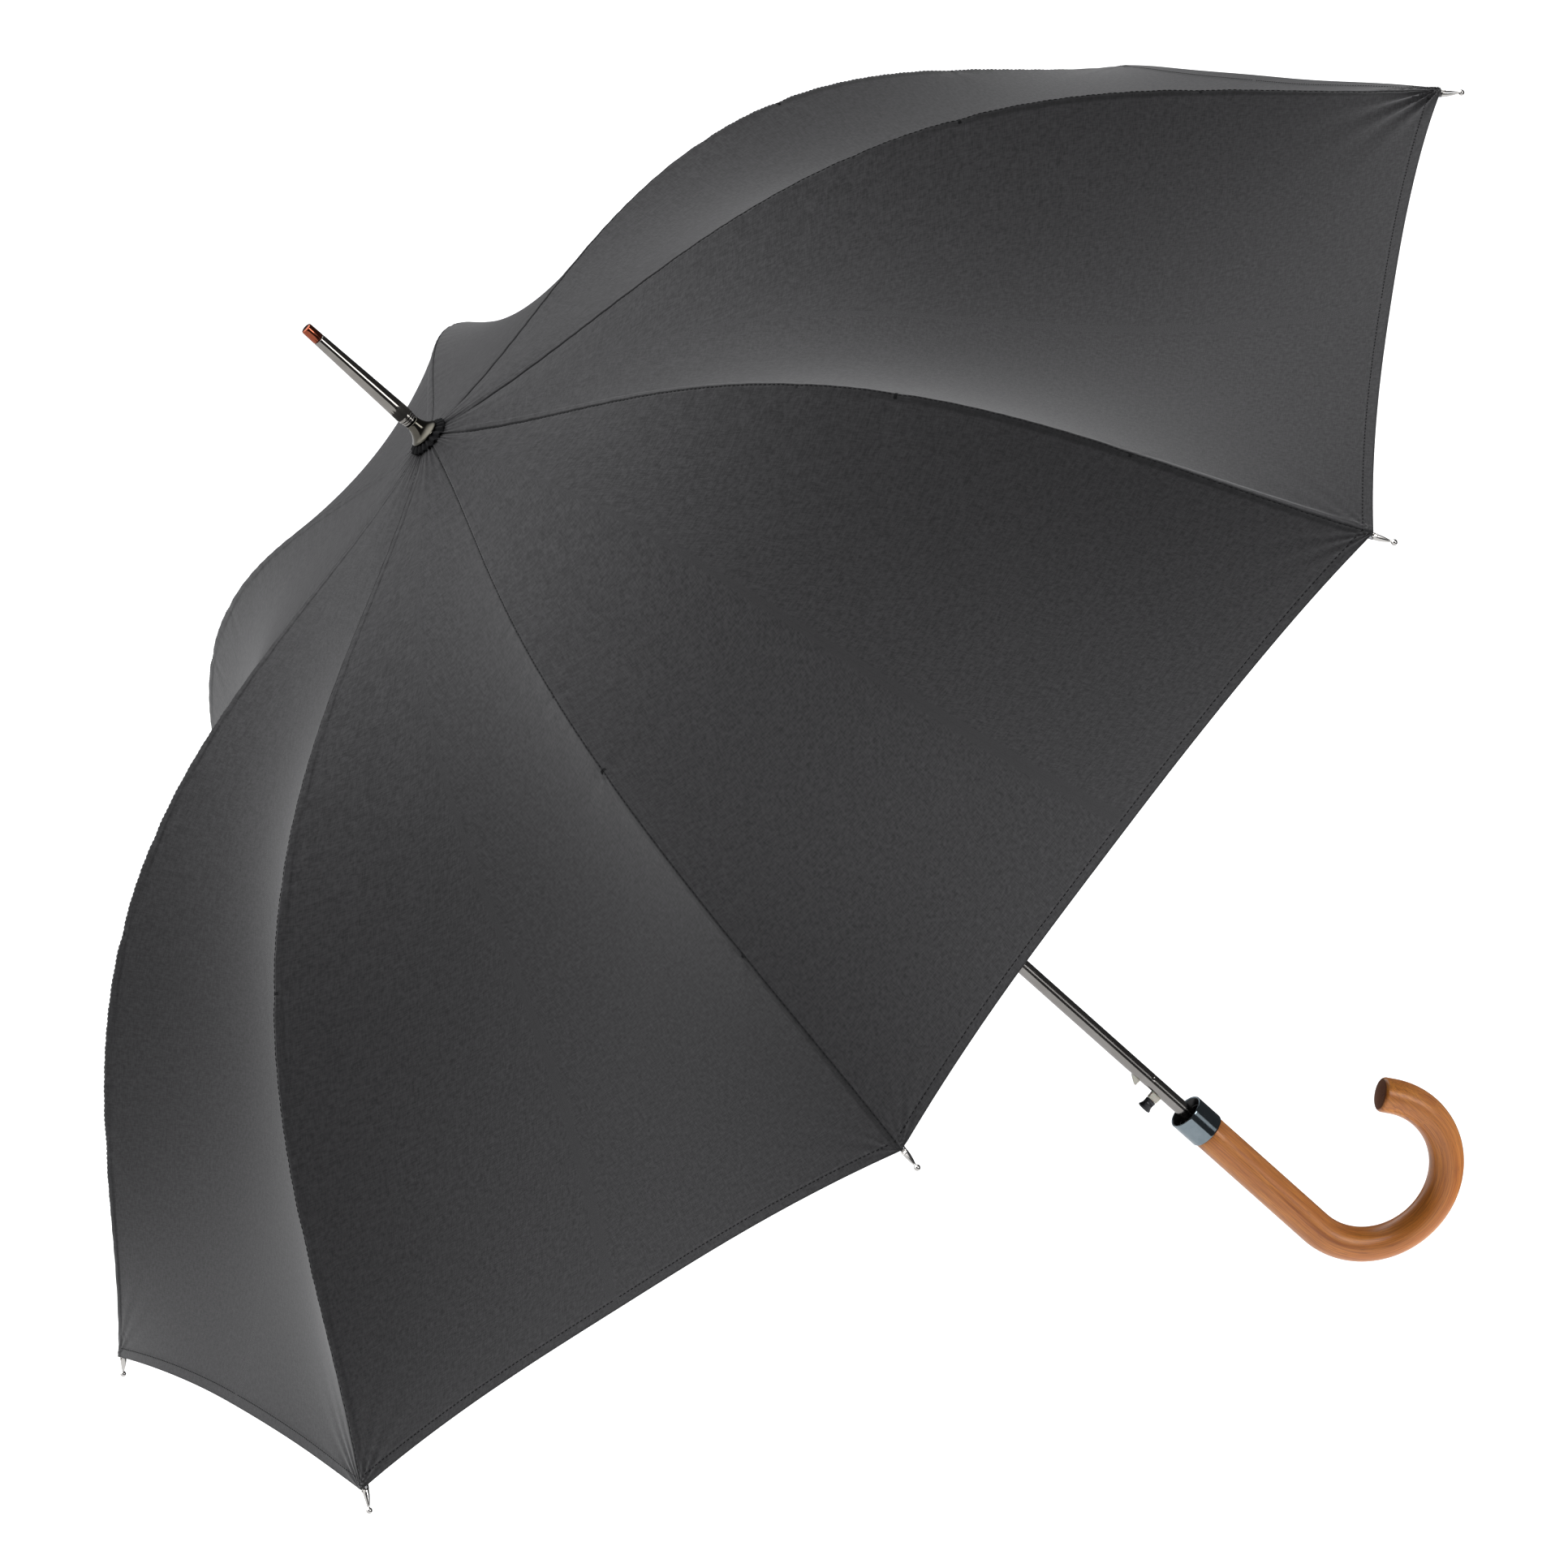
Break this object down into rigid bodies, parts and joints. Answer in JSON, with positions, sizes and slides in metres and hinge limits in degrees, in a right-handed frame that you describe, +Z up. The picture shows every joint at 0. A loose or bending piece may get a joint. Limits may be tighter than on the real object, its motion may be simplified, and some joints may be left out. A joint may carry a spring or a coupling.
{
  "type": "stick umbrella",
  "caption": "Open stick umbrella with a curved ribbed canopy, metal ferrule, plated shaft, push-button release and a wooden crook handle; runners and ribs move to close it.",
  "frame": {"origin": "on the shaft's axis at the middle of the straight grip of the crook handle", "axes": "+Z up the shaft to the ferrule, +X the way the crook bends, the push button on -X"},
  "size_m": [1.0466, 1.0466, 0.873],
  "materials": {
    "fabric": "charcoal woven pongee, soft sheen",
    "trim": "black pleated cloth",
    "gunmetal": "polished black-nickel plate",
    "copper": "polished reddish copper plate",
    "steel": "plated steel",
    "nickel": "bright nickel plate",
    "black_plastic": "smooth black plastic",
    "cream_nylon": "cream nylon",
    "wood": "varnished reddish-brown wood, lengthwise grain"
  },
  "bodies": {
    "stick": {"shaft_tube": "gunmetal", "ferrule_spike": "gunmetal", "ferrule_cap": "copper", "ferrule_cup": "gunmetal", "crown_rosette": "trim", "top_notch": "steel", "runner_stop": "black_plastic", "handle_collar": "gunmetal", "collar_bush": "black_plastic", "crook_handle": "wood"},
    "release": {"release_lever": "cream_nylon", "button_cap": "black_plastic"},
    "upper_runner": {"upper_runner": "black_plastic", "drive_spring": "steel"},
    "lower_runner": {"lower_runner": "black_plastic"},
    "rib_1": {"rib_1": "steel", "rib_tip_1": "nickel", "canopy_1": "fabric"},
    "stretcher_1": {"stretcher_1": "steel"},
    "strut_1": {"strut_1": "steel"},
    "rib_2": {"rib_2": "steel", "rib_tip_2": "nickel", "canopy_2": "fabric"},
    "stretcher_2": {"stretcher_2": "steel"},
    "strut_2": {"strut_2": "steel"},
    "rib_3": {"rib_3": "steel", "rib_tip_3": "nickel", "canopy_3": "fabric"},
    "stretcher_3": {"stretcher_3": "steel"},
    "strut_3": {"strut_3": "steel"},
    "rib_4": {"rib_4": "steel", "rib_tip_4": "nickel", "canopy_4": "fabric"},
    "stretcher_4": {"stretcher_4": "steel"},
    "strut_4": {"strut_4": "steel"},
    "rib_5": {"rib_5": "steel", "rib_tip_5": "nickel", "canopy_5": "fabric"},
    "stretcher_5": {"stretcher_5": "steel"},
    "strut_5": {"strut_5": "steel"},
    "rib_6": {"rib_6": "steel", "rib_tip_6": "nickel", "canopy_6": "fabric"},
    "stretcher_6": {"stretcher_6": "steel"},
    "strut_6": {"strut_6": "steel"},
    "rib_7": {"rib_7": "steel", "rib_tip_7": "nickel", "canopy_7": "fabric"},
    "stretcher_7": {"stretcher_7": "steel"},
    "strut_7": {"strut_7": "steel"},
    "rib_8": {"rib_8": "steel", "rib_tip_8": "nickel", "canopy_8": "fabric"},
    "stretcher_8": {"stretcher_8": "steel"},
    "strut_8": {"strut_8": "steel"}
  },
  "joints": [
    {"name": "runner_slide", "type": "slide", "parent": "stick", "child": "upper_runner", "axis": [0, 0, -1], "range_m": [0, 0.3287], "stiffness_N_per_m": 70, "springref_m": -0.08},
    {"name": "grip_slide", "type": "slide", "parent": "upper_runner", "child": "lower_runner", "axis": [0, 0, 1], "range_m": [0, 0.0184], "deforming": ["drive_spring"]},
    {"name": "button_push", "type": "hinge", "parent": "stick", "child": "release", "pos_m": [-0.0021, 0, 0.074], "axis": [0, 1, 0], "range_deg": [0, 7], "stiffness_Nm_per_rad": 0.9, "springref_deg": -3.44},
    {"name": "rib_1_hinge", "type": "hinge", "parent": "stick", "child": "rib_1", "pos_m": [0.00793, -0.00106, 0.67], "axis": [0.1323, 0.9912, 0], "range_deg": [0, 61.93], "deforming": ["canopy_1"]},
    {"name": "stretcher_1_hinge", "type": "hinge", "parent": "rib_1", "child": "stretcher_1", "pos_m": [0.25117, -0.03351, 0.62411], "axis": [-0.1323, -0.9912, 0], "range_deg": [0, 109]},
    {"name": "strut_1_hinge", "type": "hinge", "parent": "stretcher_1", "child": "strut_1", "pos_m": [0.09506, -0.01026, 0.54097], "axis": [0.1323, 0.9912, 0], "range_deg": [0, 17.25]},
    {"name": "rib_2_hinge", "type": "hinge", "parent": "stick", "child": "rib_2", "pos_m": [0.00636, 0.00486, 0.67], "axis": [-0.6074, 0.7944, 0], "range_deg": [0, 61.93], "deforming": ["canopy_2"]},
    {"name": "stretcher_2_hinge", "type": "hinge", "parent": "rib_2", "child": "stretcher_2", "pos_m": [0.20131, 0.15391, 0.62411], "axis": [0.6074, -0.7944, 0], "range_deg": [0, 109]},
    {"name": "strut_2_hinge", "type": "hinge", "parent": "stretcher_2", "child": "strut_2", "pos_m": [0.07447, 0.05996, 0.54097], "axis": [-0.6074, 0.7944, 0], "range_deg": [0, 17.25]},
    {"name": "rib_3_hinge", "type": "hinge", "parent": "stick", "child": "rib_3", "pos_m": [0.00106, 0.00793, 0.67], "axis": [-0.9912, 0.1323, 0], "range_deg": [0, 61.93], "deforming": ["canopy_3"]},
    {"name": "stretcher_3_hinge", "type": "hinge", "parent": "rib_3", "child": "stretcher_3", "pos_m": [0.03351, 0.25117, 0.62411], "axis": [0.9912, -0.1323, 0], "range_deg": [0, 109]},
    {"name": "strut_3_hinge", "type": "hinge", "parent": "stretcher_3", "child": "strut_3", "pos_m": [0.01026, 0.09506, 0.54097], "axis": [-0.9912, 0.1323, 0], "range_deg": [0, 17.25]},
    {"name": "rib_4_hinge", "type": "hinge", "parent": "stick", "child": "rib_4", "pos_m": [-0.00486, 0.00636, 0.67], "axis": [-0.7944, -0.6074, 0], "range_deg": [0, 61.93], "deforming": ["canopy_4"]},
    {"name": "stretcher_4_hinge", "type": "hinge", "parent": "rib_4", "child": "stretcher_4", "pos_m": [-0.15391, 0.20131, 0.62411], "axis": [0.7944, 0.6074, 0], "range_deg": [0, 109]},
    {"name": "strut_4_hinge", "type": "hinge", "parent": "stretcher_4", "child": "strut_4", "pos_m": [-0.05996, 0.07447, 0.54097], "axis": [-0.7944, -0.6074, 0], "range_deg": [0, 17.25]},
    {"name": "rib_5_hinge", "type": "hinge", "parent": "stick", "child": "rib_5", "pos_m": [-0.00793, 0.00106, 0.67], "axis": [-0.1323, -0.9912, 0], "range_deg": [0, 61.93], "deforming": ["canopy_5"]},
    {"name": "stretcher_5_hinge", "type": "hinge", "parent": "rib_5", "child": "stretcher_5", "pos_m": [-0.25117, 0.03351, 0.62411], "axis": [0.1323, 0.9912, 0], "range_deg": [0, 109]},
    {"name": "strut_5_hinge", "type": "hinge", "parent": "stretcher_5", "child": "strut_5", "pos_m": [-0.09506, 0.01026, 0.54097], "axis": [-0.1323, -0.9912, 0], "range_deg": [0, 17.25]},
    {"name": "rib_6_hinge", "type": "hinge", "parent": "stick", "child": "rib_6", "pos_m": [-0.00636, -0.00486, 0.67], "axis": [0.6074, -0.7944, 0], "range_deg": [0, 61.93], "deforming": ["canopy_6"]},
    {"name": "stretcher_6_hinge", "type": "hinge", "parent": "rib_6", "child": "stretcher_6", "pos_m": [-0.20131, -0.15391, 0.62411], "axis": [-0.6074, 0.7944, 0], "range_deg": [0, 109]},
    {"name": "strut_6_hinge", "type": "hinge", "parent": "stretcher_6", "child": "strut_6", "pos_m": [-0.07447, -0.05996, 0.54097], "axis": [0.6074, -0.7944, 0], "range_deg": [0, 17.25]},
    {"name": "rib_7_hinge", "type": "hinge", "parent": "stick", "child": "rib_7", "pos_m": [-0.00106, -0.00793, 0.67], "axis": [0.9912, -0.1323, 0], "range_deg": [0, 61.93], "deforming": ["canopy_7"]},
    {"name": "stretcher_7_hinge", "type": "hinge", "parent": "rib_7", "child": "stretcher_7", "pos_m": [-0.03351, -0.25117, 0.62411], "axis": [-0.9912, 0.1323, 0], "range_deg": [0, 109]},
    {"name": "strut_7_hinge", "type": "hinge", "parent": "stretcher_7", "child": "strut_7", "pos_m": [-0.01026, -0.09506, 0.54097], "axis": [0.9912, -0.1323, 0], "range_deg": [0, 17.25]},
    {"name": "rib_8_hinge", "type": "hinge", "parent": "stick", "child": "rib_8", "pos_m": [0.00486, -0.00636, 0.67], "axis": [0.7944, 0.6074, 0], "range_deg": [0, 61.93], "deforming": ["canopy_8"]},
    {"name": "stretcher_8_hinge", "type": "hinge", "parent": "rib_8", "child": "stretcher_8", "pos_m": [0.15391, -0.20131, 0.62411], "axis": [-0.7944, -0.6074, 0], "range_deg": [0, 109]},
    {"name": "strut_8_hinge", "type": "hinge", "parent": "stretcher_8", "child": "strut_8", "pos_m": [0.05996, -0.07447, 0.54097], "axis": [0.7944, 0.6074, 0], "range_deg": [0, 17.25]}
  ],
  "couplings": [
    {"joint": "grip_slide", "follows": "runner_slide", "ratio": 0.055977},
    {"joint": "rib_1_hinge", "follows": "runner_slide", "rad_per_m": 3.2883},
    {"joint": "stretcher_1_hinge", "follows": "runner_slide", "rad_per_m": 5.7877},
    {"joint": "strut_1_hinge", "follows": "runner_slide", "rad_per_m": 0.91593},
    {"joint": "rib_2_hinge", "follows": "runner_slide", "rad_per_m": 3.2883},
    {"joint": "stretcher_2_hinge", "follows": "runner_slide", "rad_per_m": 5.7877},
    {"joint": "strut_2_hinge", "follows": "runner_slide", "rad_per_m": 0.91593},
    {"joint": "rib_3_hinge", "follows": "runner_slide", "rad_per_m": 3.2883},
    {"joint": "stretcher_3_hinge", "follows": "runner_slide", "rad_per_m": 5.7877},
    {"joint": "strut_3_hinge", "follows": "runner_slide", "rad_per_m": 0.91593},
    {"joint": "rib_4_hinge", "follows": "runner_slide", "rad_per_m": 3.2883},
    {"joint": "stretcher_4_hinge", "follows": "runner_slide", "rad_per_m": 5.7877},
    {"joint": "strut_4_hinge", "follows": "runner_slide", "rad_per_m": 0.91593},
    {"joint": "rib_5_hinge", "follows": "runner_slide", "rad_per_m": 3.2883},
    {"joint": "stretcher_5_hinge", "follows": "runner_slide", "rad_per_m": 5.7877},
    {"joint": "strut_5_hinge", "follows": "runner_slide", "rad_per_m": 0.91593},
    {"joint": "rib_6_hinge", "follows": "runner_slide", "rad_per_m": 3.2883},
    {"joint": "stretcher_6_hinge", "follows": "runner_slide", "rad_per_m": 5.7877},
    {"joint": "strut_6_hinge", "follows": "runner_slide", "rad_per_m": 0.91593},
    {"joint": "rib_7_hinge", "follows": "runner_slide", "rad_per_m": 3.2883},
    {"joint": "stretcher_7_hinge", "follows": "runner_slide", "rad_per_m": 5.7877},
    {"joint": "strut_7_hinge", "follows": "runner_slide", "rad_per_m": 0.91593},
    {"joint": "rib_8_hinge", "follows": "runner_slide", "rad_per_m": 3.2883},
    {"joint": "stretcher_8_hinge", "follows": "runner_slide", "rad_per_m": 5.7877},
    {"joint": "strut_8_hinge", "follows": "runner_slide", "rad_per_m": 0.91593}
  ]
}
